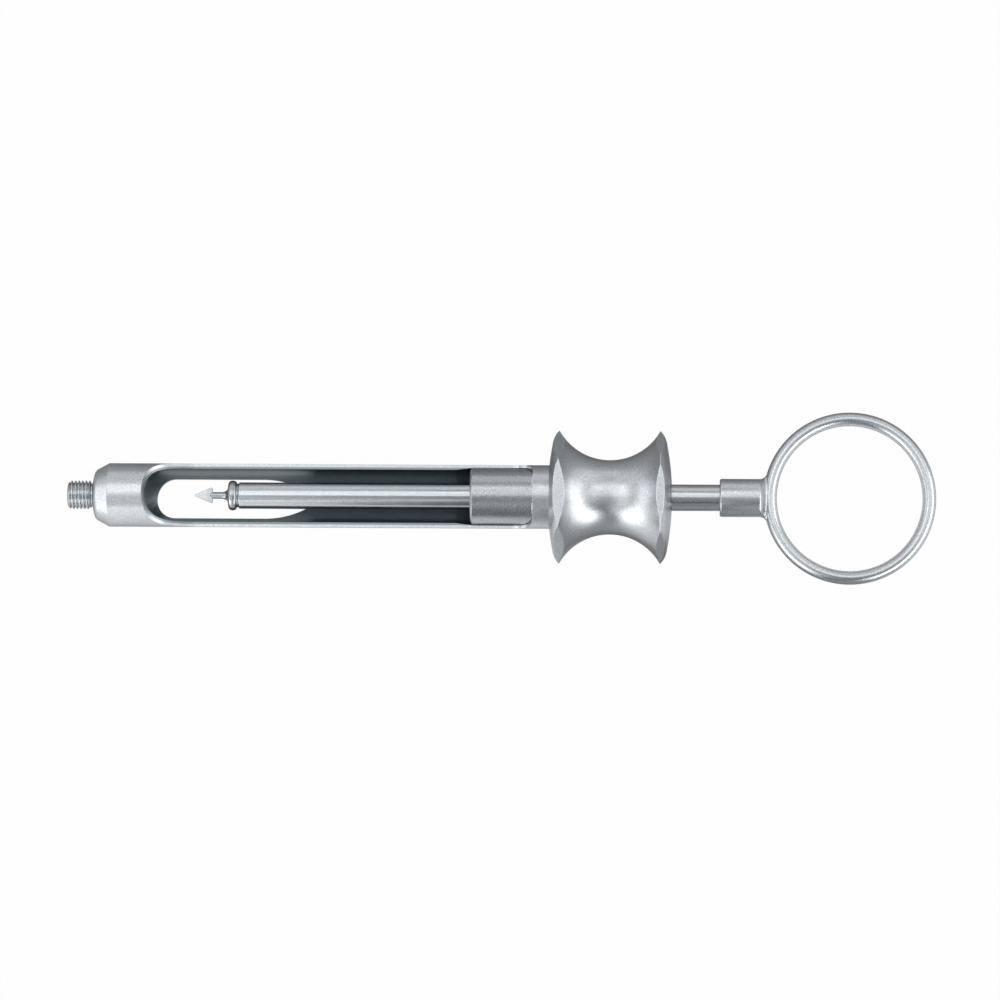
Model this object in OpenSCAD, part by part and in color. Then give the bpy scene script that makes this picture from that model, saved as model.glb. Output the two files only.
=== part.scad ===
// Aspirating cartridge syringe for dental use, side loading, in millimetres.
// X runs along the barrel from the needle end to the thumb ring, and +Z looks out of the loading
// window. The origin is on the barrel's axis, where the needle thread ends at its relief groove.
// The plunger lies part of the way in, with the sleeve pushed forward by its spring.

/* [Needle adaptor] */
// Major diameter of the needle thread
thread_d = 4.9; // [4.6:0.05:5.6]
// Length of the needle thread, without its rounded tip
thread_len = 3.4; // [3:0.1:5]
// Length of the rounded tip in front of the thread
tip_len = 0.7; // [0.4:0.1:1]
// Diameter of the flat on the tip
tip_face_d = 3.0; // [2.6:0.1:3.6]
// Width of the relief groove between the thread and the head
thread_relief = 0.18; // [0.1:0.02:0.5]
// Diameter of the shank that is screwed into the head
shank_d = 3.9; // [3.4:0.1:4.2]
// Length of the shank behind the thread
shank_len = 6.0; // [4.5:0.1:7]
// Bore that the needle's cartridge end passes through
needle_bore = 1.3; // [0.8:0.1:1.8]

/* [Barrel head] */
// Length of the head's cone, in front of the tube
head_len = 3.1; // [3:0.1:6]
// Diameter of the head's slanted front face
head_face_d = 8.4; // [7:0.1:9]
// How far the front face slants back from the adaptor to its edge
face_slant = 0.52; // [0.2:0.02:1]
// Radius of the edge between the front face and the cone
head_edge_r = 1.4; // [0.4:0.1:1.6]
// Length of the spigot that is brazed into the tube
spigot_len = 4.9; // [3:0.1:6]

/* [Barrel tube] */
// Outside diameter of the tube
barrel_od = 11.0; // [10.8:0.1:12]
// Bore of the cartridge chamber
chamber_bore = 9.2; // [9:0.05:9.4]
// Bore of the rear part, in which the sleeve slides
guide_bore = 9.96; // [9.8:0.02:10.1]
// Length of the taper that joins the two bores and stops the sleeve
taper_len = 3.2; // [2:0.1:4]
// Length of closed tube between the cartridge seat and the window
window_lead = 1.0; // [1:0.1:4]
// Length of the loading window
window_len = 67.4; // [66:0.2:80]
// Height of the window's long edges above the barrel's axis
window_sill = 0.2; // [0:0.1:1.5]
// Radius by which the window's front end sweeps down into its long edges, seen from the side
window_front_r = 10; // [6:0.5:14]
// Radius by which the window's rear end turns down into its long edges, seen from the side
window_rear_r = 3.6; // [2:0.2:5]
// Width of the see-through slot in the barrel's floor
slot_w = 6.9; // [5:0.1:7.2]
// Length of the slot, from its round front end to its rear tip
slot_len = 27.0; // [20:0.5:40]
// Distance from the front of the window to the front of the slot
slot_lead = 1.96; // [1:0.02:6]
// Radius of the long curves that close the slot towards its rear tip
slot_point_r = 14.3; // [8:0.1:20]
// Radius of the slot's rear tip
slot_tip_r = 1.6; // [0.5:0.1:2.4]
// How far the slot lies to the side of the barrel's axis
slot_offset = 0.3; // [0:0.05:0.8]

/* [Spool grip] */
// Length of tube between the window and the middle of the spool's domed face
spool_gap = 2.5; // [1:0.1:6]
// Length of the spool, over the middles of both domed faces
spool_len = 21.5; // [20:0.1:24]
// Diameter of the front flange's sharp rim
front_flange_d = 23.12; // [22.4:0.1:26]
// Diameter of the rear flange's sharp rim
rear_flange_d = 22.92; // [22.4:0.1:26]
// Diameter of the waist, at the bottom of the finger groove
waist_d = 12.84; // [12.6:0.1:14]
// Radius of the finger groove
groove_r = 10.0; // [9.6:0.1:11]
// Width across the six flats on the front flange
front_flats = 20.1; // [19.8:0.1:23]
// Width across the six flats on the rear flange
rear_flats = 21.0; // [20:0.1:23]
// Radius to which both end faces are domed
dome_r = 49.5; // [35:0.5:90]
// Length of the bevel behind each rim, along the barrel
bevel_len = 1.1; // [0.9:0.05:1.4]
// Height of the bevel, from the rim inwards
bevel_h = 1.95; // [1.5:0.05:2.6]
// Radius of the bevel's crown, between the domed face and the rim
bevel_crown_r = 4; // [2.5:0.1:8]

/* [Guide bush] */
// Length of the bush's domed head, behind the tube
bush_head_len = 2.2; // [1.6:0.1:3]
// Length of the bush's plug inside the tube
bush_plug_len = 2.7; // [2:0.1:5]

/* [Sleeve and spring] */
// Diameter of the sleeve that presses on the cartridge
sleeve_od = 9.8; // [9.6:0.02:9.84]
// Length of the sleeve
sleeve_len = 15.4; // [14:0.1:15.6]
// Wall of the sleeve round its spring
sleeve_wall = 0.5; // [0.35:0.05:0.6]
// Thickness of the sleeve's front wall
sleeve_front = 2.5; // [1.5:0.1:3.5]
// Chamfer round the sleeve's front face
sleeve_chamfer = 0.3; // [0.1:0.05:0.4]
// How much of the sleeve shows in the window
sleeve_show = 10.8; // [9:0.1:14]
// Wire diameter of the spring
wire_d = 0.7; // [0.5:0.05:0.8]
// Number of turns of the spring, with its two closed ends
spring_turns = 11; // [9:1:13]

/* [Plunger] */
// Diameter of the plunger rod
rod_d = 4.56; // [4.2:0.02:4.8]
// Length of the rod between the harpoon's collar and the ring's hub
rod_len = 83.1; // [81:0.1:90]
// How far the rod reaches into the hub
rod_seat = 5.5; // [4:0.1:6]
// Distance between the spool and the hub, as the plunger lies
plunger_out = 8.2; // [7:0.1:20]
// Chamfer at the front end of the rod
rod_chamfer = 0.15; // [0.05:0.05:0.3]

/* [Harpoon] */
// Length of the arrowhead
arrow_len = 3.1; // [2.6:0.1:3.6]
// Width of the arrowhead over its barbs
arrow_w = 2.7; // [2:0.1:3.2]
// Thickness of the arrowhead at its barbs
arrow_t = 0.9; // [0.6:0.05:1]
// Diameter of the shank behind the arrowhead
harpoon_shank_d = 1.15; // [0.9:0.05:1.3]
// Distance from the barbs to the collar
harpoon_shank_len = 2.75; // [2:0.05:3.5]
// Radius of the fillet between the shank and the collar
harpoon_fillet_r = 1.1; // [0.4:0.1:1.3]
// Diameter of the collar that pulls the sleeve back
collar_d = 5.16; // [5.1:0.02:5.6]
// Thickness of the collar
collar_t = 1.5; // [1:0.1:2]
// Width of the relief groove between the collar and the rod
collar_relief = 0.28; // [0.2:0.02:0.5]
// Diameter of the stud that is screwed into the rod
stud_d = 2.4; // [1.8:0.1:2.8]
// Length of the stud, behind the collar
stud_len = 5.0; // [3:0.1:6]

/* [Thumb ring] */
// Diameter of the hub
hub_d = 6.58; // [6.4:0.02:7.4]
// Length of the hub, up to the ring
hub_len = 7.5; // [7:0.1:12]
// Radius of the hub's front edge
hub_edge_r = 0.35; // [0.1:0.05:0.5]
// Outside diameter of the ring
ring_outer_d = 29.8; // [28:0.2:33]
// Inside diameter of the ring
ring_inner_d = 25.1; // [23:0.1:26]
// Height of the ring's oval section
ring_h = 3.0; // [2.4:0.1:3.6]
// Radius of the fillets between the hub and the ring
ring_fillet_r = 1.4; // [1:0.1:3]

/* [Clearances] */
// Radial clearance of pieces that are screwed or brazed together
joint_gap = 0.02; // [0.01:0.01:0.04]
// Radial clearance of the rod in its bush
rod_clearance = 0.05; // [0.03:0.01:0.08]
// Radial clearance of the rod in the sleeve
sleeve_bore_clearance = 0.08; // [0.05:0.01:0.1]
// Radial clearance of the plunger's own pieces on the rod
seat_clearance = 0.04; // [0.03:0.01:0.08]
// Gap between the ends of pieces that turn against each other
end_gap = 0.05; // [0.03:0.01:0.1]
// Radial clearance between the spring and the sleeve
spring_clearance = 0.2; // [0.15:0.05:0.3]
// Gap between the spring and the sleeve's front wall
spring_end_gap = 0.05; // [0.03:0.01:0.1]

/* [Hidden] */
$fn = 96;

SATIN_STEEL = "#C9CCD0";
GROUND_STEEL = "#D8DADD";
SPRING_STEEL = "#9A9DA2";
CUT = 1; // how far a cut runs past the face that it opens

// Stations along the barrel, from the needle end to the thumb ring
tube_front = head_len;
seat_x = tube_front + spigot_len;
window_front = seat_x + window_lead;
window_rear = window_front + window_len;
sleeve_x = window_rear - sleeve_show;
spool_front = window_rear + spool_gap;
spool_rear = spool_front + spool_len;
waist_x = (spool_front + spool_rear) / 2;
tube_rear = spool_rear - bush_head_len;
bush_front = tube_rear - bush_plug_len;
hub_front = spool_rear + plunger_out;
rod_front = hub_front - rod_len;
ring_x = hub_front + hub_len + ring_outer_d / 2;

// The guide bore is full size just behind the sleeve's chamfer, so the taper stops the sleeve there
guide_front = sleeve_x + 2 * sleeve_chamfer;
taper_front = guide_front - taper_len;

barrel_r = barrel_od / 2;
guide_r = guide_bore / 2;
shank_r = shank_d / 2;
rod_r = rod_d / 2;
bush_bore_r = rod_r + rod_clearance;
hub_r = hub_d / 2;
sleeve_inner_r = sleeve_od / 2 - sleeve_wall;

// Turns a profile of [x, radius] points about the X axis
module turned() {
    rotate([0, 90, 0]) rotate_extrude() mirror([1, -1]) children();
}

// A cylinder along X
module rod_x(x, len, r) {
    translate([x, 0, 0]) rotate([0, 90, 0]) cylinder(h = len, r = r);
}

function unit(v) = v / norm(v);

// An arc about a centre, from one angle to another
function arc(centre, r, from, to, steps = 8) =
    [for (i = [0:steps]) let (a = from + (to - from) * i / steps) centre + r * [cos(a), sin(a)]];

// The arc that rounds the corner at b, on the way from a to c
function rounded(a, b, c, r, steps = 6) =
    let (
        u = unit(a - b), v = unit(c - b),
        half = acos(u * v) / 2,
        centre = b + unit(u + v) * r / sin(half),
        first = b + u * r / tan(half) - centre,
        last = b + v * r / tan(half) - centre,
        from = atan2(first[1], first[0]),
        turn = atan2(first[0] * last[1] - first[1] * last[0], first * last)
    )
    arc(centre, r, from, from + turn, steps);

// How far a domed end face lies behind its middle, at a radius
function dome_sag(r) = dome_r - sqrt(dome_r * dome_r - r * r);

// ---- Needle adaptor: threaded nipple with the needle's passage ----
module needle_adaptor() {
    tip_x = -thread_len - tip_len;
    thread_r = thread_d / 2;
    tip_corner = [tip_x + tip_len / 4, (tip_face_d / 2 + thread_r) / 2];
    funnel_r = needle_bore;
    color(GROUND_STEEL)
    turned() difference() {
        polygon([
            [tip_x, needle_bore / 2], [tip_x, tip_face_d / 2], tip_corner,
            [-thread_len, thread_r], [0, thread_r], [0, shank_r],
            [shank_len, shank_r], [shank_len, needle_bore / 2]
        ]);
        // the funnel that leads the needle's rear end into the chamber
        polygon([[shank_len - funnel_r, 0], [shank_len + CUT, funnel_r + CUT], [shank_len + CUT, 0]]);
    }
}

// ---- Barrel head: cone in front, spigot inside the tube ----
module barrel_head() {
    hole_r = shank_r + joint_gap;
    face_start = [thread_relief, hole_r];
    face_edge = [thread_relief + face_slant, head_face_d / 2];
    cone_end = [tube_front, barrel_r];
    spigot_r = chamber_bore / 2 - joint_gap;
    seat_mouth_r = spigot_r - 1;
    color(SATIN_STEEL)
    turned() polygon(concat(
        [face_start],
        rounded(face_start, face_edge, cone_end, head_edge_r),
        [
            cone_end, [tube_front, spigot_r], [seat_x, spigot_r], [seat_x, seat_mouth_r],
            [shank_len, hole_r]
        ]
    ));
}

// ---- Barrel tube: chamber, guide bore, loading window and see-through slot ----
module barrel_tube() {
    color(SATIN_STEEL)
    difference() {
        rod_x(tube_front, tube_rear - tube_front, barrel_r);
        turned() polygon([
            [tube_front - CUT, 0], [tube_front - CUT, chamber_bore / 2],
            [taper_front, chamber_bore / 2], [guide_front, guide_r],
            [tube_rear + CUT, guide_r], [tube_rear + CUT, 0]
        ]);
        loading_window();
        floor_slot();
    }
}

// Everything above the sill between the window's two swept ends
module loading_window() {
    top = barrel_r + CUT;
    translate([0, top, 0]) rotate([90, 0, 0]) linear_extrude(2 * top) difference() {
        translate([window_front, window_sill]) square([window_len, top - window_sill]);
        translate([window_front, window_sill]) swept_end(window_front_r);
        translate([window_rear, window_sill]) mirror([1, 0]) swept_end(window_rear_r);
    }
}

// What stays of the tube at an end of the window, seen from the side: an arc that leaves the long edge
// without a corner and climbs until it stands upright or meets the tube's top
module swept_end(r) {
    rise = barrel_r - window_sill;
    climb = min(r, rise);
    reach = sqrt(r ^ 2 - (r - climb) ^ 2);
    difference() {
        translate([-CUT, -CUT]) square([reach + CUT, climb + 2 * CUT]);
        translate([reach, r]) circle(r);
    }
}

// A slot through the floor, round in front and drawn out to a blunt tip behind
module floor_slot() {
    slot_r = slot_w / 2;
    first_x = window_front + slot_lead + slot_r;
    tip_x = window_front + slot_lead + slot_len - slot_tip_r;
    curve_x = tip_x - sqrt(pow(slot_point_r - slot_tip_r, 2) - pow(slot_point_r - slot_r, 2));
    curve_len = (tip_x - curve_x) * slot_point_r / (slot_point_r - slot_tip_r);
    depth = barrel_r + CUT;
    translate([0, -slot_offset, -depth]) linear_extrude(depth) {
        translate([first_x, 0]) circle(slot_r);
        translate([first_x, -slot_r]) square([curve_x - first_x, slot_w]);
        intersection() {
            translate([curve_x, -slot_r]) square([curve_len, slot_w]);
            translate([curve_x, slot_point_r - slot_r]) circle(slot_point_r);
            translate([curve_x, slot_r - slot_point_r]) circle(slot_point_r);
        }
        translate([tip_x, 0]) circle(slot_tip_r);
    }
}

// ---- Spool grip: turned spool with six flats on each rim ----
module spool_grip() {
    front_r = front_flange_d / 2;
    rear_r = rear_flange_d / 2;
    front_bevel = [spool_front + dome_sag(front_r - bevel_h), front_r - bevel_h];
    rear_bevel = [spool_rear - dome_sag(rear_r - bevel_h), rear_r - bevel_h];
    bore_r = barrel_r + joint_gap;
    color(SATIN_STEEL)
    intersection() {
        turned() difference() {
            intersection() {
                polygon([
                    [spool_front - CUT, bore_r], [spool_front - CUT, front_r], [waist_x, front_r],
                    [waist_x, rear_r], [spool_rear + CUT, rear_r], [spool_rear + CUT, bore_r]
                ]);
                translate([spool_front + dome_r, 0]) circle(dome_r);
                translate([spool_rear - dome_r, 0]) circle(dome_r);
            }
            crowned_bevel(front_bevel, [front_bevel.x + bevel_len, front_r]);
            crowned_bevel(rear_bevel, [rear_bevel.x - bevel_len, rear_r]);
            translate([waist_x, waist_d / 2 + groove_r]) circle(groove_r);
        }
        union() {
            flats(spool_front - CUT, waist_x + CUT, front_flats);
            flats(waist_x, spool_rear + CUT, rear_flats);
        }
    }
}

// What is turned away outside a rim, from the domed face to the rim, leaving a crowned bevel
module crowned_bevel(face_end, rim_end) {
    along = rim_end - face_end;
    side = sign(along.x);
    inward = side * unit([along.y, -along.x]);
    half = norm(along) / 2;
    centre = (face_end + rim_end) / 2 + inward * sqrt(bevel_crown_r * bevel_crown_r - half * half);
    difference() {
        polygon([
            face_end, rim_end, rim_end + [0, bevel_len], face_end + [-side * bevel_len, bevel_h + bevel_len],
            face_end + [-side * bevel_len, 0]
        ]);
        translate(centre) circle(bevel_crown_r);
    }
}

// A hexagonal prism along X, with one flat facing up and one down
module flats(from_x, to_x, across) {
    translate([from_x, 0, 0]) rotate([0, 90, 0]) rotate([0, 0, 30])
        cylinder(h = to_x - from_x, r = across / 2 / cos(30), $fn = 6);
}

// ---- Guide bush: screwed into the tube behind the spring, with the rod's bearing ----
module guide_bush() {
    plug_r = guide_r - joint_gap;
    dome = [spool_rear - dome_r, 0];
    color(GROUND_STEEL)
    turned() polygon(concat(
        [[bush_front, bush_bore_r], [bush_front, plug_r], [tube_rear, plug_r], [tube_rear, barrel_r]],
        arc(dome, dome_r, asin(barrel_r / dome_r), asin(bush_bore_r / dome_r), 4)
    ));
}

// ---- Inner sleeve: cup that the spring presses on the cartridge ----
module inner_sleeve() {
    r = sleeve_od / 2;
    bore_r = rod_r + sleeve_bore_clearance;
    wall_x = sleeve_x + sleeve_front;
    rear_x = sleeve_x + sleeve_len;
    color(GROUND_STEEL)
    turned() polygon([
        [sleeve_x, bore_r + sleeve_chamfer], [sleeve_x, r - sleeve_chamfer], [sleeve_x + sleeve_chamfer, r],
        [rear_x, r], [rear_x, sleeve_inner_r], [wall_x, sleeve_inner_r],
        [wall_x, bore_r], [sleeve_x + sleeve_chamfer, bore_r]
    ]);
}

// ---- Sleeve spring: coil with one closed turn at each end ----
module sleeve_spring() {
    closed_pitch = wire_d * 1.04;
    first_x = sleeve_x + sleeve_front + spring_end_gap + wire_d / 2;
    last_x = bush_front - wire_d / 2;
    open_pitch = (last_x - first_x - 2 * closed_pitch) / (spring_turns - 2);
    coil_r = sleeve_inner_r - spring_clearance - wire_d / 2;
    sides = 8;
    per_turn = 20;
    rings = spring_turns * per_turn;
    // where the wire lies after so many turns
    function wire_x(turn) = first_x + closed_pitch * (min(turn, 1) + max(turn - spring_turns + 1, 0))
        + open_pitch * min(max(turn - 1, 0), spring_turns - 2);
    points = [
        for (i = [0:rings], j = [0:sides - 1])
            let (around = 360 * i / per_turn, a = 360 * j / sides, r = coil_r + wire_d / 2 * sin(a))
            [wire_x(i / per_turn) + wire_d / 2 * cos(a), r * cos(around), r * sin(around)]
    ];
    walls = [
        for (i = [0:rings - 1], j = [0:sides - 1])
            let (k = (j + 1) % sides)
            [i * sides + j, i * sides + k, (i + 1) * sides + k, (i + 1) * sides + j]
    ];
    ends = [[for (j = [sides - 1:-1:0]) j], [for (j = [0:sides - 1]) rings * sides + j]];
    color(SPRING_STEEL) polyhedron(points, concat(walls, ends), convexity = 10);
}

// ---- Plunger rod: tapped in front for the harpoon, screwed into the hub behind ----
module plunger_rod() {
    socket_r = stud_d / 2 + seat_clearance;
    rear_x = hub_front + rod_seat;
    socket_x = rod_front + stud_len;
    color(GROUND_STEEL)
    turned() polygon([
        [rod_front, socket_r], [rod_front, rod_r - rod_chamfer], [rod_front + rod_chamfer, rod_r],
        [rear_x, rod_r], [rear_x, 0], [socket_x + socket_r / 2, 0], [socket_x, socket_r]
    ]);
}

// ---- Harpoon: flat arrowhead, shank, collar and stud in one piece ----
module harpoon() {
    neck_x = rod_front - end_gap;
    collar_rear = rod_front - collar_relief;
    collar_front = collar_rear - collar_t;
    barb_x = collar_front - harpoon_shank_len;
    neck_r = rod_r - 1.5 * rod_chamfer;
    shank = harpoon_shank_d / 2;
    collar_r = collar_d / 2;
    front_edge = [collar_front, collar_r];
    rear_edge = [collar_rear, collar_r];
    edge_r = collar_t * 0.42;
    nose_x = barb_x - harpoon_shank_d;
    color(GROUND_STEEL) {
        turned() polygon(concat(
            [[nose_x, 0], [barb_x - shank / 2, shank]],
            arc([collar_front - harpoon_fillet_r, shank + harpoon_fillet_r], harpoon_fillet_r, -90, 0),
            rounded([collar_front, shank], front_edge, rear_edge, edge_r),
            rounded(front_edge, rear_edge, [collar_rear, neck_r], edge_r),
            [
                [collar_rear, neck_r], [neck_x, neck_r], [neck_x, stud_d / 2],
                [neck_x + stud_len, stud_d / 2], [neck_x + stud_len, 0]
            ]
        ));
        arrowhead(barb_x);
    }
}

// A flat arrowhead, wedge-shaped from the side, with its barbs at barb_x
module arrowhead(barb_x) {
    tip_flat = 0.12;
    barb_lip = 0.16;
    intersection() {
        translate([barb_x, 0, -arrow_t]) linear_extrude(2 * arrow_t) polygon([
            [-arrow_len, tip_flat], [-barb_lip, arrow_w / 2], [0, arrow_w / 2 - barb_lip],
            [0, barb_lip - arrow_w / 2], [-barb_lip, -arrow_w / 2], [-arrow_len, -tip_flat]
        ]);
        translate([barb_x, arrow_w, 0]) rotate([90, 0, 0]) linear_extrude(2 * arrow_w) polygon([
            [-arrow_len, tip_flat], [-arrow_len * 0.3, arrow_t / 2], [0, arrow_t / 2],
            [0, -arrow_t / 2], [-arrow_len * 0.3, -arrow_t / 2], [-arrow_len, -tip_flat]
        ]);
    }
}

// ---- Thumb ring: oval ring on a round hub ----
module thumb_ring() {
    front_edge = [hub_front, hub_r];
    socket_r = rod_r + seat_clearance;
    color(SATIN_STEEL)
    difference() {
        union() {
            turned() polygon(concat(
                [[hub_front, 0]],
                rounded([hub_front, 0], front_edge, [blend_start_x(), hub_r], hub_edge_r),
                [[blend_start_x(), hub_r], [blend_start_x(), 0]]
            ));
            hub_blend();
            translate([ring_x, 0, 0]) rotate_extrude() ring_section();
        }
        rod_x(hub_front - CUT, CUT + rod_seat + end_gap, socket_r);
    }
}

// The ring's oval section, at its place from the ring's axis
module ring_section() {
    steps = 32;
    half_w = (ring_outer_d - ring_inner_d) / 4;
    polygon([
        for (i = [0:steps - 1])
            let (a = 360 * i / steps) [ring_inner_d / 2 + half_w + half_w * cos(a), ring_h / 2 * sin(a)]
    ]);
}

// The fillet circle touches the side of the hub and runs just under the outside of the ring
blend_sink = 0.04;
blend_reach_r = ring_outer_d / 2 - blend_sink;
function blend_start_x() =
    ring_x - sqrt(pow(blend_reach_r + ring_fillet_r, 2) - pow(hub_r + ring_fillet_r, 2));

// Widens the hub into the ring's plane and flattens it to the ring's height
module hub_blend() {
    start_x = blend_start_x();
    reach = blend_reach_r / (blend_reach_r + ring_fillet_r);
    end_x = ring_x - (ring_x - start_x) * reach;
    start_r = hub_r - blend_sink / 4;
    end_h = ring_h / 2 * 0.96;
    steps = 14;
    sides = 36;
    function half_width(x) = start_r + ring_fillet_r - sqrt(pow(ring_fillet_r, 2) - pow(x - start_x, 2));
    function half_height(s) = end_h + (start_r - end_h) * (1 + cos(180 * s)) / 2;
    sections = concat(
        [[start_x - hub_edge_r, start_r, start_r]],
        [for (i = [0:steps]) let (s = i / steps, x = start_x + (end_x - start_x) * s)
            [x, half_width(x), half_height(s)]],
        [[end_x + blend_sink * 8, half_width(end_x) * 0.9, end_h * 0.9]]
    );
    last = len(sections) - 1;
    points = [
        for (q = sections, j = [0:sides - 1])
            let (a = 360 * j / sides) [q[0], q[1] * cos(a), q[2] * sin(a)]
    ];
    walls = [
        for (i = [0:last - 1], j = [0:sides - 1])
            let (k = (j + 1) % sides)
            [i * sides + j, (i + 1) * sides + j, (i + 1) * sides + k, i * sides + k]
    ];
    ends = [[for (j = [0:sides - 1]) j], [for (j = [sides - 1:-1:0]) last * sides + j]];
    polyhedron(points, concat(walls, ends), convexity = 4);
}

barrel_tube();
barrel_head();
needle_adaptor();
spool_grip();
guide_bush();
inner_sleeve();
sleeve_spring();
plunger_rod();
harpoon();
thumb_ring();
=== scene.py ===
import math

import bmesh
import bpy
from mathutils import Matrix, Vector


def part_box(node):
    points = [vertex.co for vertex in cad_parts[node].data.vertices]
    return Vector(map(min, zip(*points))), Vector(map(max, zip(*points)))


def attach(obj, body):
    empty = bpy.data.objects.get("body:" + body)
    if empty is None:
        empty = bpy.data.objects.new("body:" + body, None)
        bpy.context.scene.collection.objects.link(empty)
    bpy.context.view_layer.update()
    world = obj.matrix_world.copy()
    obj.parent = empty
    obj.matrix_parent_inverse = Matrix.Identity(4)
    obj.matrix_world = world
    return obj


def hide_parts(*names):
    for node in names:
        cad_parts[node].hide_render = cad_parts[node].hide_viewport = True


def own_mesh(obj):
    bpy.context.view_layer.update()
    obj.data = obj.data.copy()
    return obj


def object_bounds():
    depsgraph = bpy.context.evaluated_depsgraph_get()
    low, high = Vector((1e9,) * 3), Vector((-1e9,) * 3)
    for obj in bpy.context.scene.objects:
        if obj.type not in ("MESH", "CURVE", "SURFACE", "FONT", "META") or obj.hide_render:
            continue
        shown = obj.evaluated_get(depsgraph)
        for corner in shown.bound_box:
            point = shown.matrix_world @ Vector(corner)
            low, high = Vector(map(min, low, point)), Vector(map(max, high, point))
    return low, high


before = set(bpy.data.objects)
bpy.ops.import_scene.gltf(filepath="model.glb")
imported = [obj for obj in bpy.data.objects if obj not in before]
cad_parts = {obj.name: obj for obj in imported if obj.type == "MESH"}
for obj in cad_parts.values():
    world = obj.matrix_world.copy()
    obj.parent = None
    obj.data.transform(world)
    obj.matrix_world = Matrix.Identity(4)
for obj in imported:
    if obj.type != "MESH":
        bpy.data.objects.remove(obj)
cad_low, cad_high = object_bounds()
scene = bpy.context.scene
scene.view_settings.view_transform = "Standard"


# ---- Camera ----
# The syringe lies on its back with the loading window up. The camera looks down on it from a metre
# above, leaning a little to the near side and to the thumb ring's side, through a long lens.

def looking_at(place, target, right):
    """Where something stands that looks at target, with its right hand towards right."""
    back = (Vector(place) - Vector(target)).normalized()
    side = (Vector(right) - back * back.dot(Vector(right))).normalized()
    turned = Matrix((side, back.cross(side), back)).transposed()
    return Matrix.Translation(place) @ turned.to_4x4()


view_width = 0.1718
view_height = 1.0
view_roll = math.radians(0.29)
view_lean = math.radians(5.5)
view_aside = 0.031
middle_x = (cad_low.x + cad_high.x) / 2
aim_x = middle_x - 0.0002
aim_y = -0.00055
camera = bpy.data.objects.new("camera", bpy.data.cameras.new("camera"))
scene.collection.objects.link(camera)
camera.data.lens = camera.data.sensor_width * view_height / view_width
camera.data.clip_start = 0.05
camera.data.clip_end = 20
camera.matrix_world = looking_at(
    (middle_x + view_aside, aim_y - view_height * math.tan(view_lean), view_height),
    (aim_x, aim_y, 0),
    (math.cos(view_roll), math.sin(view_roll), 0),
)
scene.camera = camera


# ---- Table and lamps ----
# A white table, seen as plain white with the syringe's faint shadow on it. Round it stands a light tent
# of white cloth panels: a low ring, a second ring that leans in over it, and a few across the top and
# along the near side. The near side is left dark beside the finger grip.

def add_node(tree, kind, inputs=None, **settings):
    """A shader node with its settings and the values of its inputs."""
    node = tree.nodes.new(kind)
    for key, value in settings.items():
        setattr(node, key, value)
    for key, value in (inputs or {}).items():
        if isinstance(value, bpy.types.NodeSocket):
            tree.links.new(value, node.inputs[key])
        else:
            node.inputs[key].default_value = value
    return node


def white_to_the_eye(tree, by_eye, in_metal):
    """How much of plain white a ray sees: by_eye of it straight, in_metal of it mirrored.

    in_metal is a number, or the socket that works it out."""
    path = add_node(tree, "ShaderNodeLightPath")
    mirrored = add_node(tree, "ShaderNodeMath", {
        0: path.outputs["Is Glossy Ray"], 1: path.outputs["Is Transmission Ray"],
    }, operation="MAXIMUM")
    mirrored_share = add_node(tree, "ShaderNodeMath", {
        0: mirrored.outputs[0], 1: in_metal,
    }, operation="MULTIPLY")
    straight_share = add_node(tree, "ShaderNodeMath", {
        0: path.outputs["Is Camera Ray"], 1: by_eye,
    }, operation="MULTIPLY")
    seen = add_node(tree, "ShaderNodeMath", {
        0: straight_share.outputs[0], 1: mirrored_share.outputs[0],
    }, operation="MAXIMUM")
    return seen.outputs[0]


table_gap = 0.0001
table_z = cad_low.z - table_gap
table_half = 6
table_grey = 0.34
table_white = 0.985
mesh_squares = 8
table_mesh = bmesh.new()
bmesh.ops.create_grid(table_mesh, x_segments=mesh_squares, y_segments=mesh_squares, size=table_half)
bmesh.ops.translate(table_mesh, verts=table_mesh.verts, vec=(middle_x, 0, table_z))
table_data = bpy.data.meshes.new("table_top")
table_mesh.to_mesh(table_data)
table_mesh.free()
table = bpy.data.objects.new("table_top", table_data)
scene.collection.objects.link(table)
table_paint = bpy.data.materials.new("white_table")
table_paint.use_nodes = True
tree = table_paint.node_tree
tree.nodes.clear()
# The tent's end panels light the table most: a wide near corner at the needle end and a narrow strip
# under the thumb ring. So its mirrored white is painted light, a glow that the metal shows as a painted
# reflection, and it grows towards them by the bearing round the finger grip, from where the cosine to the
# corner's bearing passes starts to where it passes full
grip_low, grip_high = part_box("spool_grip")
grip_x = (grip_low.x + grip_high.x) / 2
bright_corners = (((-0.8, -0.6, 0), 0.65, 0.95), ((0.99, -0.1, 0), 0.90, 0.975))
dim_glow = 0.09
full_glow = 0.9
spot = add_node(tree, "ShaderNodeTexCoord").outputs["Object"]
from_grip = add_node(tree, "ShaderNodeVectorMath", {
    0: spot, 1: (grip_x, 0, table_z),
}, operation="SUBTRACT")
heading = add_node(tree, "ShaderNodeVectorMath", {0: from_grip.outputs[0]}, operation="NORMALIZE")
painted_corner_glow = []
for corner, starts, full in bright_corners:
    towards = add_node(tree, "ShaderNodeVectorMath", {
        0: heading.outputs[0], 1: corner,
    }, operation="DOT_PRODUCT")
    painted_corner_glow.append(add_node(tree, "ShaderNodeMapRange", {
        "Value": towards.outputs["Value"], "From Min": starts, "From Max": full,
        "To Min": dim_glow, "To Max": full_glow,
    }))
painted_glow_share = add_node(tree, "ShaderNodeMath", {
    0: painted_corner_glow[0].outputs[0], 1: painted_corner_glow[1].outputs[0],
}, operation="MAXIMUM")
matt = add_node(tree, "ShaderNodeBsdfDiffuse", {
    "Color": (table_grey, table_grey, table_grey, 1), "Roughness": 1.0,
})
glow = add_node(tree, "ShaderNodeEmission", {"Color": (1, 1, 1, 1), "Strength": 1.0})
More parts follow.
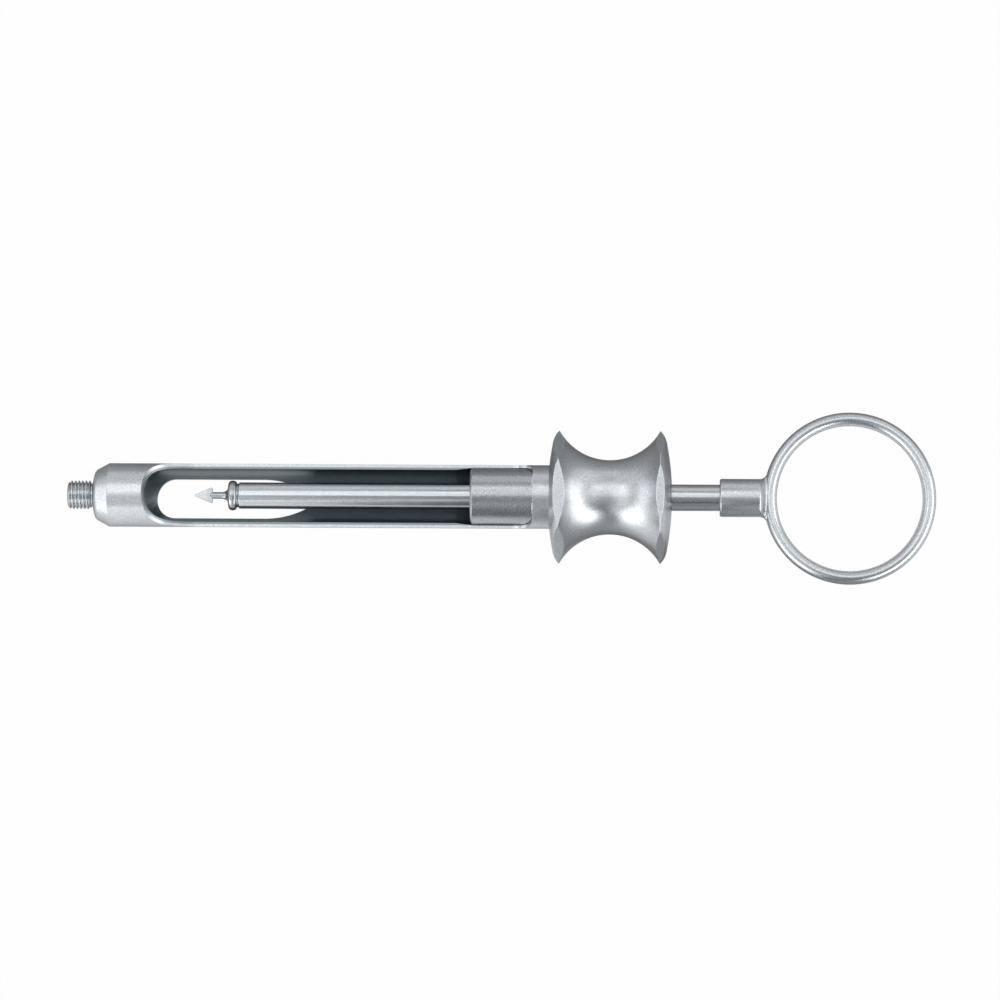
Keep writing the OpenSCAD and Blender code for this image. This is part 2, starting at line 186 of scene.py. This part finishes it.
surface = add_node(tree, "ShaderNodeMixShader", {
    0: white_to_the_eye(tree, table_white, painted_glow_share.outputs[0]), 1: matt.outputs[0], 2: glow.outputs[0],
})
add_node(tree, "ShaderNodeOutputMaterial", {"Surface": surface.outputs[0]})
table_data.materials.append(table_paint)

room_in_metal = 0.05
room = bpy.data.worlds.new("studio")
scene.world = room
room.use_nodes = True
tree = room.node_tree
tree.nodes.clear()
grey = add_node(tree, "ShaderNodeBackground", {"Color": (0.052, 0.064, 0.070, 1), "Strength": 1.0})
white = add_node(tree, "ShaderNodeBackground", {"Color": (1, 1, 1, 1), "Strength": 1.0})
seen = add_node(tree, "ShaderNodeMixShader", {
    0: white_to_the_eye(tree, 1.0, room_in_metal), 1: grey.outputs[0], 2: white.outputs[0],
})
add_node(tree, "ShaderNodeOutputWorld", {"Surface": seen.outputs[0]})


def soft_box(name, place, target, wide, tall, brightness, right=(1, 0, 0)):
    """A lit cloth panel whose front is that bright, its width along right."""
    lamp = bpy.data.lights.new(name, "AREA")
    lamp.shape = "RECTANGLE"
    lamp.size = wide
    lamp.size_y = tall
    lamp.energy = brightness * math.pi * wide * tall
    panel = bpy.data.objects.new(name, lamp)
    scene.collection.objects.link(panel)
    panel.matrix_world = looking_at(place, target, right)
    panel.visible_camera = False


middle = Vector((middle_x, 0, 0))
tent_r = 0.5
# The rows of the tent: how high above the table a row stands, how tall and how wide its panels are, all
# in degrees seen from the syringe, and how bright each one is by its bearing, which counts from the
# thumb ring's end by way of the far side
tent = (
    (18, 34, 42, {0: 2.2, 45: 0.9, 90: 0.7, 135: 0.7, 180: 1.5, 225: 1.9, 315: 2.4}),
    (50, 28, 38, {0: 0.5, 60: 0.6, 120: 0.7, 180: 0.3, 240: 0.6}),
)
for height, tall, wide, row in tent:
    panel_wide = 2 * tent_r * math.tan(math.radians(wide / 2))
    panel_tall = 2 * tent_r * math.tan(math.radians(tall / 2))
    up = math.radians(height)
    for bearing, bright in row.items():
        round_by = math.radians(bearing)
        toward = Vector((math.cos(up) * math.cos(round_by), math.cos(up) * math.sin(round_by), math.sin(up)))
        soft_box(
            f"tent_{height}_{bearing}", middle + toward * tent_r, middle, panel_wide, panel_tall, bright,
            right=(-math.sin(round_by), math.cos(round_by), 0),
        )
# The panels across the top and along the near side: where each one stands and what it faces, counted
# from the syringe's middle, then its width, its height and how bright it is
panels = {
    "over_far_side": ((0, 0.16, 0.55), (0, 0, 0), 0.9, 0.34, 1.0),
    "over_needle_end": ((-0.2, -0.04, 0.5), (-0.05, 0, 0), 0.3, 0.4, 0.65),
    "over_ring_end": ((0.13, -0.12, 0.5), (0.03, 0, 0), 0.3, 0.25, 0.25),
    "near_needle_end": ((-0.18, -0.22, 0.095), (-0.18, 0, 0.095), 0.28, 0.21, 0.9),
    "near_ring_end": ((0.18, -0.35, 0.12), (0.18, 0, 0.12), 0.34, 0.25, 0.22),
}
for name, (place, faced, wide, tall, bright) in panels.items():
    soft_box(name, middle + Vector(place), middle + Vector(faced), wide, tall, bright)


# ---- Barrel tube ----
# A drawn stainless tube with the loading window milled out of its upper side and a slot in its floor.
# Outside it is blasted to an even satin grain after turning; the bore keeps a rougher reamed finish, and
# its colour is darkened there as painted shade.

def new_group(name, inputs, outputs):
    """An empty shader node group with those sockets, and its input and output nodes."""
    group = bpy.data.node_groups.new(name, "ShaderNodeTree")
    for socket, kind, value in inputs:
        made = group.interface.new_socket(name=socket, in_out="INPUT", socket_type=kind)
        if value is not None:
            made.default_value = value
    for socket, kind in outputs:
        group.interface.new_socket(name=socket, in_out="OUTPUT", socket_type=kind)
    return group, group.nodes.new("NodeGroupInput"), group.nodes.new("NodeGroupOutput")


# Blasting leaves fine dimples with no direction, some of them deeper
pits_to_dimples = 0.37
blasted_grain, given, result = new_group(
    "blasted_grain",
    [("Place", "NodeSocketVector", None), ("Grain Size", "NodeSocketFloat", 0.0002)],
    [("Speckle", "NodeSocketFloat"), ("Dimples", "NodeSocketFloat")],
)
per_metre = add_node(blasted_grain, "ShaderNodeMath", {
    0: 1.0, 1: given.outputs["Grain Size"],
}, operation="DIVIDE")
fine = add_node(blasted_grain, "ShaderNodeTexNoise", {
    "Vector": given.outputs["Place"], "Scale": per_metre.outputs[0], "Detail": 3.0, "Roughness": 0.65,
})
coarser = add_node(blasted_grain, "ShaderNodeMath", {
    0: per_metre.outputs[0], 1: pits_to_dimples,
}, operation="MULTIPLY")
pits = add_node(blasted_grain, "ShaderNodeTexVoronoi", {
    "Vector": given.outputs["Place"], "Scale": coarser.outputs[0],
}, feature="F1")
speckle = add_node(blasted_grain, "ShaderNodeMapRange", {
    "Value": fine.outputs["Fac"], "From Min": 0.3, "From Max": 0.7, "To Min": 0.0, "To Max": 1.0,
})
deep = add_node(blasted_grain, "ShaderNodeMapRange", {
    "Value": pits.outputs["Distance"], "From Min": 0.0, "From Max": 0.6, "To Min": 0.0, "To Max": 1.0,
})
dimples = add_node(blasted_grain, "ShaderNodeMath", {
    0: speckle.outputs[0], 1: deep.outputs[0],
}, operation="ADD")
blasted_grain.links.new(speckle.outputs[0], result.inputs["Speckle"])
blasted_grain.links.new(dimples.outputs[0], result.inputs["Dimples"])

# The lathe leaves fine rings round the barrel's axis, never quite even
along_a_ring = 0.015
lathe_rings, given, result = new_group(
    "lathe_rings",
    [("Place", "NodeSocketVector", None), ("Feed", "NodeSocketFloat", 0.0001)],
    [("Rings", "NodeSocketFloat")],
)
per_metre = add_node(lathe_rings, "ShaderNodeMath", {0: 1.0, 1: given.outputs["Feed"]}, operation="DIVIDE")
flattened = add_node(lathe_rings, "ShaderNodeVectorMath", {
    0: given.outputs["Place"], 1: (1.0, along_a_ring, along_a_ring),
}, operation="MULTIPLY")
streaks = add_node(lathe_rings, "ShaderNodeTexNoise", {
    "Vector": flattened.outputs[0], "Scale": per_metre.outputs[0], "Detail": 2.0, "Roughness": 0.6,
})
lathe_rings.links.new(streaks.outputs["Fac"], result.inputs["Rings"])

# Handling leaves soft smudges and a few hairline marks along the barrel
smudges_per_metre = 160.0
hairlines_per_metre = 9000.0
handling_marks, given, result = new_group(
    "handling_marks",
    [("Place", "NodeSocketVector", None)],
    [("Smudges", "NodeSocketFloat"), ("Hairlines", "NodeSocketFloat")],
)
smudge = add_node(handling_marks, "ShaderNodeTexNoise", {
    "Vector": given.outputs["Place"], "Scale": smudges_per_metre, "Detail": 3.0, "Roughness": 0.5,
})
drawn_out = add_node(handling_marks, "ShaderNodeVectorMath", {
    0: given.outputs["Place"], 1: (0.05, 1.0, 1.0),
}, operation="MULTIPLY")
hair = add_node(handling_marks, "ShaderNodeTexNoise", {
    "Vector": drawn_out.outputs[0], "Scale": hairlines_per_metre, "Detail": 1.0, "Roughness": 0.5,
})
few = add_node(handling_marks, "ShaderNodeMapRange", {
    "Value": hair.outputs["Fac"], "From Min": 0.62, "From Max": 0.72, "To Min": 0.0, "To Max": 1.0,
})
handling_marks.links.new(smudge.outputs["Fac"], result.inputs["Smudges"])
handling_marks.links.new(few.outputs[0], result.inputs["Hairlines"])

# Where a point lies nearer the barrel's axis than a radius, as the wall of a bore does
inside_bore, given, result = new_group(
    "inside_bore",
    [("Place", "NodeSocketVector", None), ("Bore Radius", "NodeSocketFloat", 0.005)],
    [("Inside", "NodeSocketFloat")],
)
apart = add_node(inside_bore, "ShaderNodeSeparateXYZ", {0: given.outputs["Place"]})
across = add_node(inside_bore, "ShaderNodeCombineXYZ", {1: apart.outputs["Y"], 2: apart.outputs["Z"]})
radius = add_node(inside_bore, "ShaderNodeVectorMath", {0: across.outputs[0]}, operation="LENGTH")
short_of = add_node(inside_bore, "ShaderNodeMath", {
    0: given.outputs["Bore Radius"], 1: radius.outputs["Value"],
}, operation="SUBTRACT")
within = add_node(inside_bore, "ShaderNodeMapRange", {
    "Value": short_of.outputs[0], "From Min": 0.0, "From Max": 0.0001, "To Min": 0.0, "To Max": 1.0,
})
inside_bore.links.new(within.outputs[0], result.inputs["Inside"])


def steel(name, colour, roughness, grain, grain_size, rings, feed, edge=0.55, edge_r=0.00012, bore=None):
    """A stainless steel finish.

    Its blasted grain and its lathe rings are so many micrometres deep. edge is what is left of its colour
    at a grazing angle, and edge_r the radius to which its edges are broken. bore is the radius of a bore,
    the darker colour painted there as shade, and the higher roughness of its reamed finish."""
    in_dimples = 0.68
    smudge_swing = 0.03
    grain_swing = 0.04
    micrometre = 1e-6
    made = bpy.data.materials.new(name)
    made.use_nodes = True
    tree = made.node_tree
    tree.nodes.clear()
    place = add_node(tree, "ShaderNodeTexCoord").outputs["Object"]
    blasted = add_node(tree, "ShaderNodeGroup", {}, node_tree=blasted_grain)
    turned = add_node(tree, "ShaderNodeGroup", {}, node_tree=lathe_rings)
    marks = add_node(tree, "ShaderNodeGroup", {}, node_tree=handling_marks)
    for group in (blasted, turned, marks):
        tree.links.new(place, group.inputs["Place"])
    blasted.inputs["Grain Size"].default_value = grain_size
    turned.inputs["Feed"].default_value = feed
    # colour: a little darker in the dimples
    dark = tuple(value * in_dimples for value in colour) + (1,)
    speckled = add_node(tree, "ShaderNodeMix", {
        0: blasted.outputs["Speckle"], 6: dark, 7: colour + (1,),
    }, data_type="RGBA")
    base = speckled.outputs[2]
    # roughness: the grain and the smudges each move it a little
    uneven = add_node(tree, "ShaderNodeMapRange", {
        "Value": marks.outputs["Smudges"], "From Min": 0.3, "From Max": 0.7,
        "To Min": roughness - smudge_swing, "To Max": roughness + smudge_swing,
    })
    gritty = add_node(tree, "ShaderNodeMapRange", {
        "Value": blasted.outputs["Speckle"], "From Min": 0.0, "From Max": 1.0,
        "To Min": grain_swing, "To Max": -grain_swing,
    })
    rough = add_node(tree, "ShaderNodeMath", {
        0: uneven.outputs[0], 1: gritty.outputs[0],
    }, operation="ADD").outputs[0]
    # painted shade: inside a bore the colour is mixed to a much darker one; the roughness is raised for the
    # reamed finish
    if bore:
        bore_r, bore_shade_colour, bore_roughness = bore
        inner = add_node(tree, "ShaderNodeGroup", {}, node_tree=inside_bore)
        tree.links.new(place, inner.inputs["Place"])
        inner.inputs["Bore Radius"].default_value = bore_r
        shaded_bore = add_node(tree, "ShaderNodeMix", {
            0: inner.outputs["Inside"], 6: base, 7: bore_shade_colour + (1,),
        }, data_type="RGBA")
        base = shaded_bore.outputs[2]
        rough = add_node(tree, "ShaderNodeMix", {
            0: inner.outputs["Inside"], 2: rough, 3: bore_roughness,
        }, data_type="FLOAT").outputs[0]
    grained = add_node(tree, "ShaderNodeBump", {
        "Strength": 1.0, "Distance": grain * micrometre, "Height": blasted.outputs["Dimples"],
    })
    if edge_r:
        broken_edge = add_node(tree, "ShaderNodeBevel", {"Radius": edge_r}, samples=6)
        tree.links.new(broken_edge.outputs[0], grained.inputs["Normal"])
    ringed = add_node(tree, "ShaderNodeBump", {
        "Strength": 1.0, "Distance": rings * micrometre, "Height": turned.outputs["Rings"],
        "Normal": grained.outputs[0],
    })
    scratched = add_node(tree, "ShaderNodeBump", {
        "Strength": 0.5, "Distance": micrometre, "Height": marks.outputs["Hairlines"],
        "Normal": ringed.outputs[0],
    })
    metal = add_node(tree, "ShaderNodeBsdfPrincipled", {
        "Base Color": base, "Metallic": 1.0, "Roughness": rough, "Normal": scratched.outputs[0],
        "Specular Tint": (edge, edge, edge, 1),
    })
    add_node(tree, "ShaderNodeOutputMaterial", {"Surface": metal.outputs[0]})
    return made


real_edge = math.radians(24)


def dress(node, finish):
    """Gives a carried-over solid its finish, and smooth shading up to its real edges."""
    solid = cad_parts[node]
    for slot in solid.material_slots:
        slot.material = finish
    solid.data.set_sharp_from_angle(angle=real_edge)


dress("barrel_tube", steel(
    "satin_tube", (0.705, 0.735, 0.765), 0.31, grain=5.0, grain_size=0.00026, rings=2.0, feed=0.00012,
    bore=(0.00503, (0.26, 0.30, 0.32), 0.36),
))


# ---- Barrel head ----
# The turned nose of the barrel: a slanted face, a rounded edge and a cone up to the tube's diameter.
# Its spigot is brazed into the tube; the needle adaptor is screwed through it.

dress("barrel_head", steel(
    "satin_head", (0.705, 0.735, 0.765), 0.32, grain=5.0, grain_size=0.00026, rings=3.0, feed=0.00012,
))


# ---- Needle adaptor ----
# A short turned stud with the thread that takes the needle's hub, cut right up to the relief groove,
# and a fine bore for the needle's rear end. It is ground steel, left bright.

skin_edge = math.radians(32)


def skin(name, sheet, finish, body, closed_along=True):
    """A closed mesh from rows of points; each row runs once round and joins up."""
    data = bpy.data.meshes.new(name)
    rows = len(sheet)
    count = len(sheet[0])
    points = [point for row in sheet for point in row]
    faces = []
    for i in range(rows if closed_along else rows - 1):
        j = (i + 1) % rows
        for k in range(count):
            m = (k + 1) % count
            faces.append((i * count + k, i * count + m, j * count + m, j * count + k))
    if not closed_along:
        faces.append(tuple(range(count - 1, -1, -1)))
        faces.append(tuple((rows - 1) * count + k for k in range(count)))
    data.from_pydata(points, [], faces)
    data.update()
    mended = bmesh.new()
    mended.from_mesh(data)
    bmesh.ops.recalc_face_normals(mended, faces=mended.faces)
    mended.to_mesh(data)
    mended.free()
    data.polygons.foreach_set("use_smooth", [True] * len(data.polygons))
    data.set_sharp_from_angle(angle=skin_edge)
    data.materials.append(finish)
    piece = bpy.data.objects.new(name, data)
    scene.collection.objects.link(piece)
    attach(piece, body)
    return piece


adaptor_low, adaptor_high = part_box("needle_adaptor")
crest_r = (adaptor_high.y - adaptor_low.y) / 2
thread_pitch = 0.00062
thread_depth = 0.00036
relief_x = 0.0
tip_x = adaptor_low.x
rear_x = adaptor_high.x
tip_r = 0.00150
shoulder_x = -0.0034
run_out = 0.0002
stem_r = 0.00195
needle_r = 0.00065
funnel = 0.0009
rear_chamfer = 0.0001
mouth_deep = 0.0002
mouth_flare = 0.00015


def tip_outline(x):
    """The adaptor's largest radius at x, with its rounded tip."""
    if x >= shoulder_x:
        return crest_r
    share = (shoulder_x - x) / (shoulder_x - tip_x)
    return tip_r + (crest_r - tip_r) * math.sqrt(max(0.0, 1 - share * share)) ** 0.9


def thread_radius(x, turn):
    """A right-hand thread with softened crests, run out at the relief groove."""
    root_share = 0.14
    flank_share = 0.62
    left_at_groove = 0.35
    phase = (x / thread_pitch - turn) % 1.0
    flank = 1 - abs(2 * phase - 1)
    ridge = min(1.0, max(0.0, (flank - root_share) / flank_share))
    ridge = ridge * ridge * (3 - 2 * ridge)
    fade = min(1.0, max(0.0, (relief_x - x) / run_out))
    threaded = crest_r - thread_depth * (1 - ridge)
    cut = left_at_groove + (1 - left_at_groove) * fade
    return min(tip_outline(x), stem_r + (threaded - stem_r) * cut)


around = 96
thread_steps = 150
sheet = []
for i in range(thread_steps + 1):
    x = tip_x + (relief_x - tip_x) * i / thread_steps
    row = []
    for k in range(around):
        a = math.tau * k / around
        r = thread_radius(x, k / around)
        row.append((x, r * math.cos(a), r * math.sin(a)))
    sheet.append(row)
for x, r in (
    (relief_x, stem_r),
    (rear_x - rear_chamfer, stem_r),
    (rear_x, stem_r - rear_chamfer),
    (rear_x, needle_r + funnel * 0.7),
    (rear_x - funnel, needle_r),
    (tip_x + mouth_deep, needle_r),
    (tip_x, needle_r + mouth_flare),
):
    sheet.append([
        (x, r * math.cos(math.tau * k / around), r * math.sin(math.tau * k / around)) for k in range(around)
    ])
thread_steel = steel(
    "bright_thread", (0.70, 0.73, 0.76), 0.22, grain=1.5, grain_size=0.00016, rings=2.0, feed=0.0001,
    edge=0.5,
)
adaptor = skin("threaded_adaptor", sheet, thread_steel, "barrel")
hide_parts("needle_adaptor")


# ---- Spool grip ----
# Turned from bar: a deep round groove for two fingers between domed, bevelled flanges, then six flats
# milled on each rim so that the syringe doesn't roll. It is brazed on the tube and blasted with it.

# Its bore, where it sits on the tube, is darkened as painted shade.
dress("spool_grip", steel(
    "satin_spool", (0.705, 0.735, 0.765), 0.33, grain=6.0, grain_size=0.00028, rings=2.0, feed=0.00016,
    edge_r=0.00025, bore=(0.00553, (0.27, 0.30, 0.32), 0.4),
))


# ---- Guide bush ----
# A turned plug screwed into the rear of the tube. It closes the spring's chamber and guides the rod.

# Its bore round the rod is darkened as painted shade.
dress("guide_bush", steel(
    "turned_bush", (0.60, 0.63, 0.655), 0.26, grain=1.5, grain_size=0.00016, rings=3.0, feed=0.0001,
    bore=(0.00236, (0.18, 0.205, 0.22), 0.3),
))


# ---- Inner sleeve ----
# A turned cup that slides in the tube and presses on the cartridge. It is blasted finer than the barrel
# and its steel is given a darker colour than the barrel's; its front edge is chamfered bright. Its bore is
# darkened as painted shade.

dress("inner_sleeve", steel(
    "sliding_sleeve", (0.555, 0.585, 0.61), 0.24, grain=5.0, grain_size=0.00026, rings=3.0, feed=0.00012,
    bore=(0.00446, (0.18, 0.205, 0.22), 0.35),
))


# ---- Sleeve spring ----
# A compression spring wound from round stainless wire, with a closed turn at each end. It sits in the
# sleeve's cup and bears on the guide bush, so the real one shortens as the sleeve is drawn back; here it
# is built at one length and rides with the barrel.

spring_low, spring_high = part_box("sleeve_spring")
wire_r = 0.00035
coil_r = 0.00385
turns = 11
closed = wire_r * 2 * 1.04  # the pitch of the closed turns, which just don't touch
first_x = spring_low.x + wire_r
last_x = spring_high.x - wire_r
open_pitch = (last_x - first_x - 2 * closed) / (turns - 2)
per_turn = 36
round_wire = 12
sheet = []
for i in range(turns * per_turn + 1):
    turn = i / per_turn
    closed_turns = min(turn, 1) + max(turn - turns + 1, 0)
    x = first_x + closed * closed_turns + open_pitch * min(max(turn - 1, 0), turns - 2)
    a = math.tau * turn
    row = []
    for k in range(round_wire):
        b = math.tau * k / round_wire
        r = coil_r + wire_r * math.sin(b)
        row.append((x + wire_r * math.cos(b), r * math.cos(a), r * math.sin(a)))
    sheet.append(row)
wire_steel = steel(
    "spring_wire", (0.43, 0.455, 0.475), 0.26, grain=1.0, grain_size=0.00015, rings=0.5, feed=0.0001,
    edge=0.5,
)
spring = skin("coil_spring", sheet, wire_steel, "barrel", closed_along=False)
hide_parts("sleeve_spring")
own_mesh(spring)


# ---- Plunger rod ----
# Centreless-ground bar with a chamfered front end. It slides through the bush and the sleeve.

dress("plunger_rod", steel(
    "ground_rod", (0.705, 0.735, 0.765), 0.20, grain=2.0, grain_size=0.00016, rings=1.0, feed=0.0001,
    edge=0.5,
))


# ---- Harpoon ----
# A barbed arrowhead, filed flat from a turned pin, with the collar that pulls the sleeve back.
# Its stud is screwed into the end of the rod.

dress("harpoon", steel(
    "bright_harpoon", (0.54, 0.565, 0.59), 0.27, grain=1.5, grain_size=0.00015, rings=1.0, feed=0.0001,
    edge=0.5,
))


# ---- Thumb ring ----
# A ring bent from oval bar and brazed to a turned hub, which is pinned on the rod's rear end. The braze
# is dressed to a fillet that widens the hub into the ring, and all of it is blasted together.

ring_low, ring_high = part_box("thumb_ring")
ring_r = (ring_high.y - ring_low.y) / 2
ring_centre_x = ring_high.x - ring_r
bar_wide = 0.00235
bar_tall = 0.0030
hub_front = ring_low.x
hub_r = 0.00329
hub_edge = 0.00035
socket_r = 0.00230
socket_gap = 0.0001
socket_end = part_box("plunger_rod")[1].x + socket_gap
fillet_r = 0.0014
sunk = 0.00004

ring_steps = 240
bar_steps = 48
bar_rows = []
for i in range(ring_steps):
    a = math.tau * i / ring_steps
    row = []
    for k in range(bar_steps):
        b = math.tau * k / bar_steps
        out = ring_r - bar_wide / 2 + bar_wide / 2 * math.cos(b)
        row.append((ring_centre_x + out * math.cos(a), out * math.sin(a), bar_tall / 2 * math.sin(b)))
    bar_rows.append(row)
ring_steel = steel(
    "satin_ring", (0.69, 0.72, 0.75), 0.29, grain=1.0, grain_size=0.0003, rings=0.0, feed=0.0001, edge_r=0,
)
ring = skin("oval_ring", bar_rows, ring_steel, "ring")
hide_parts("thumb_ring")

# The hub's outline: its socket, its rounded front edge and its side, and then the fillet, which touches
# the hub's side and the outside of the ring while the hub flattens to the ring's height
touch_r = ring_r - sunk
fillet_start = ring_centre_x - math.sqrt((touch_r + fillet_r) ** 2 - (hub_r + fillet_r) ** 2)
fillet_end = ring_centre_x - (ring_centre_x - fillet_start) * touch_r / (touch_r + fillet_r)
flat_r = bar_tall / 2 * 0.96
hidden_end = 0.9
edge_steps = 8
fillet_steps = 28
hub_steps = 72
outline = [(socket_end, socket_r, socket_r), (hub_front, socket_r, socket_r)]
for i in range(edge_steps + 1):
    a = math.radians(90 * i / edge_steps)
    r = hub_r - hub_edge * (1 - math.sin(a))
    outline.append((hub_front + hub_edge * (1 - math.cos(a)), r, r))
outline.append((fillet_start, hub_r, hub_r))
for i in range(1, fillet_steps + 1):
    share = i / fillet_steps
    x = fillet_start + (fillet_end - fillet_start) * share
    half_wide = hub_r + fillet_r - math.sqrt(fillet_r ** 2 - (x - fillet_start) ** 2)
    half_tall = flat_r + (hub_r - flat_r) * (1 + math.cos(math.pi * share)) / 2
    outline.append((x, half_wide, half_tall))
outline.append((fillet_end + 8 * sunk, half_wide * hidden_end, flat_r * hidden_end))
hub_rows = []
for x, wide, tall in outline:
    turned_by = [math.tau * k / hub_steps for k in range(hub_steps)]
    hub_rows.append([(x, wide * math.cos(a), tall * math.sin(a)) for a in turned_by])
skin("ring_hub", hub_rows, ring_steel, "ring", closed_along=False)
